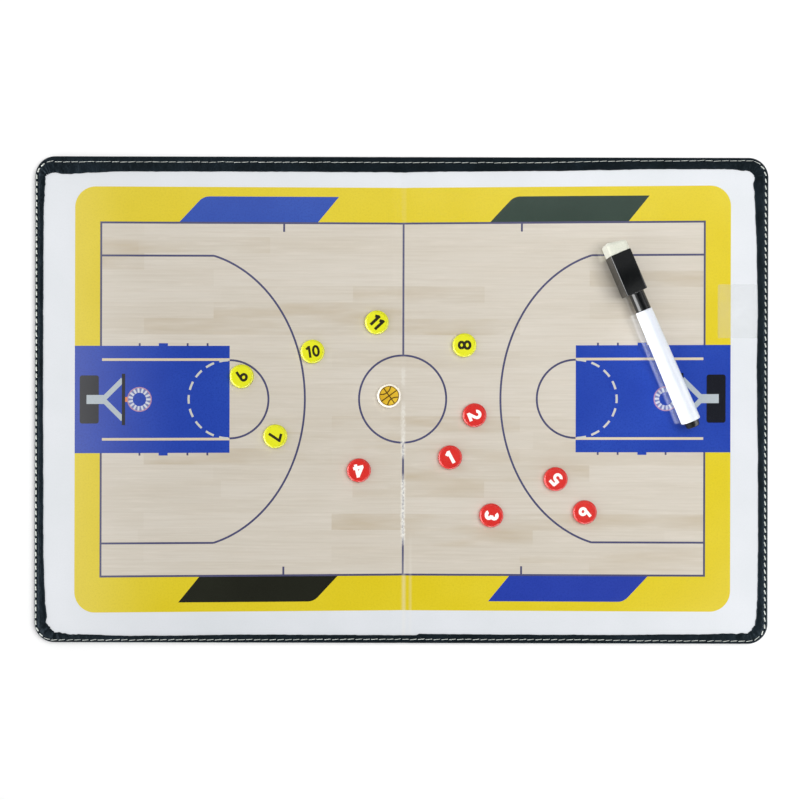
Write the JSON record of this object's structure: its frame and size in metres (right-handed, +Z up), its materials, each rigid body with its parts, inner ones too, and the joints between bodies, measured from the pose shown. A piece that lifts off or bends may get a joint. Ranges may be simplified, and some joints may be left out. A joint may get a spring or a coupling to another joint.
{
  "type": "tactics board",
  "caption": "Folding basketball tactics board in a stitched black cover, with a glossy court print, magnetic numbered counters, a ball counter and a capped dry-erase marker.",
  "frame": {"origin": "centre of the open board's outline, on the back face that lies on the table", "axes": "+X along the court's length to the marker's side, +Y across the court, +Z up out of the print"},
  "size_m": [0.46, 0.305, 0.0208],
  "materials": {
    "leather": "black grained PU leather",
    "grey_board": "pressed grey board",
    "steel_sheet": "thin tinned steel sheet",
    "print_film": "glossy dry-erase film with a printed court",
    "thread": "pale grey sewing thread",
    "clear_film": "clear film, slightly milky",
    "counter_red": "glossy red moulding",
    "counter_yellow": "glossy yellow moulding",
    "counter_white": "glossy white moulding",
    "label_red": "printed label with a number",
    "label_yellow": "printed label with a number",
    "label_ball": "printed label with a ball",
    "magnet": "sintered ferrite",
    "black_plastic": "glossy black moulding",
    "white_plastic": "glossy white moulding",
    "felt": "pressed white felt",
    "ink_fibre": "ink-soaked fibre rod",
    "nib_fibre": "bonded fibre nib, inked black"
  },
  "bodies": {
    "left_leaf": {"left_cover_skin": "leather", "left_stiff_board": "grey_board", "left_steel_sheet": "steel_sheet", "left_print_film": "print_film", "left_edge_stitching": "thread", "spine_cover_strip": "leather", "spine_film_strip": "print_film", "spine_stitching": "thread"},
    "right_leaf": {"right_cover_skin": "leather", "right_stiff_board": "grey_board", "right_steel_sheet": "steel_sheet", "right_print_film": "print_film", "right_edge_stitching": "thread", "clear_patch": "clear_film"},
    "counter_01": {"counter_01_shell": "counter_red", "counter_01_magnet": "magnet", "counter_01_label": "label_red"},
    "counter_02": {"counter_02_shell": "counter_red", "counter_02_magnet": "magnet", "counter_02_label": "label_red"},
    "counter_03": {"counter_03_shell": "counter_red", "counter_03_magnet": "magnet", "counter_03_label": "label_red"},
    "counter_04": {"counter_04_shell": "counter_red", "counter_04_magnet": "magnet", "counter_04_label": "label_red"},
    "counter_05": {"counter_05_shell": "counter_red", "counter_05_magnet": "magnet", "counter_05_label": "label_red"},
    "counter_06": {"counter_06_shell": "counter_red", "counter_06_magnet": "magnet", "counter_06_label": "label_red"},
    "counter_07": {"counter_07_shell": "counter_yellow", "counter_07_magnet": "magnet", "counter_07_label": "label_yellow"},
    "counter_08": {"counter_08_shell": "counter_yellow", "counter_08_magnet": "magnet", "counter_08_label": "label_yellow"},
    "counter_09": {"counter_09_shell": "counter_yellow", "counter_09_magnet": "magnet", "counter_09_label": "label_yellow"},
    "counter_10": {"counter_10_shell": "counter_yellow", "counter_10_magnet": "magnet", "counter_10_label": "label_yellow"},
    "counter_11": {"counter_11_shell": "counter_yellow", "counter_11_magnet": "magnet", "counter_11_label": "label_yellow"},
    "counter_ball": {"counter_ball_shell": "counter_white", "counter_ball_magnet": "magnet", "counter_ball_label": "label_ball"},
    "marker_capped_end": {"marker_cap": "black_plastic", "marker_cap_magnet": "magnet", "marker_eraser": "felt"},
    "marker_pen": {"marker_barrel": "white_plastic", "marker_front_section": "black_plastic", "marker_nib": "nib_fibre", "marker_ink_reservoir": "ink_fibre", "marker_tail_plug": "black_plastic"}
  },
  "joints": [
    {"name": "fold", "type": "hinge", "parent": "left_leaf", "child": "right_leaf", "pos_m": [0, 0, 0.00813], "axis": [0, 1, 0], "range_deg": [-175, 0], "deforming": ["spine_cover_strip", "spine_film_strip", "spine_stitching"]},
    {"name": "counter_01_slide", "type": "slide", "parent": "right_leaf", "child": "counter_01", "axis": [1, 0, 0], "range_m": [-0.0158, 0.0394]},
    {"name": "counter_02_slide", "type": "slide", "parent": "right_leaf", "child": "counter_02", "axis": [1, 0, 0], "range_m": [-0.031, 0.1142]},
    {"name": "counter_03_slide", "type": "slide", "parent": "right_leaf", "child": "counter_03", "axis": [1, 0, 0], "range_m": [-0.0417, 0.0255]},
    {"name": "counter_04_slide", "type": "slide", "parent": "left_leaf", "child": "counter_04", "axis": [1, 0, 0], "range_m": [-0.1865, 0.0117]},
    {"name": "counter_05_slide", "type": "slide", "parent": "right_leaf", "child": "counter_05", "axis": [1, 0, 0], "range_m": [-0.0167, 0.0833]},
    {"name": "counter_06_slide", "type": "slide", "parent": "right_leaf", "child": "counter_06", "axis": [1, 0, 0], "range_m": [-0.015, 0.098]},
    {"name": "counter_07_slide", "type": "slide", "parent": "left_leaf", "child": "counter_07", "axis": [1, 0, 0], "range_m": [-0.1341, 0.0641]},
    {"name": "counter_08_slide", "type": "slide", "parent": "right_leaf", "child": "counter_08", "axis": [1, 0, 0], "range_m": [-0.0246, 0.1026]},
    {"name": "counter_09_slide", "type": "slide", "parent": "left_leaf", "child": "counter_09", "axis": [1, 0, 0], "range_m": [-0.113, 0.03]},
    {"name": "counter_10_slide", "type": "slide", "parent": "left_leaf", "child": "counter_10", "axis": [1, 0, 0], "range_m": [-0.1573, 0.0409]},
    {"name": "counter_11_slide", "type": "slide", "parent": "left_leaf", "child": "counter_11", "axis": [1, 0, 0], "range_m": [-0.1975, 0.0007]},
    {"name": "counter_ball_slide", "type": "slide", "parent": "left_leaf", "child": "counter_ball", "axis": [1, 0, 0], "range_m": [-0.0423, 0]},
    {"name": "marker_lift", "type": "slide", "parent": "right_leaf", "child": "marker_capped_end", "axis": [0, 0, 1], "range_m": [0, 0.04]},
    {"name": "marker_uncap", "type": "slide", "parent": "marker_capped_end", "child": "marker_pen", "axis": [0.3947, -0.9188, 0], "range_m": [0, 0.035]}
  ]
}
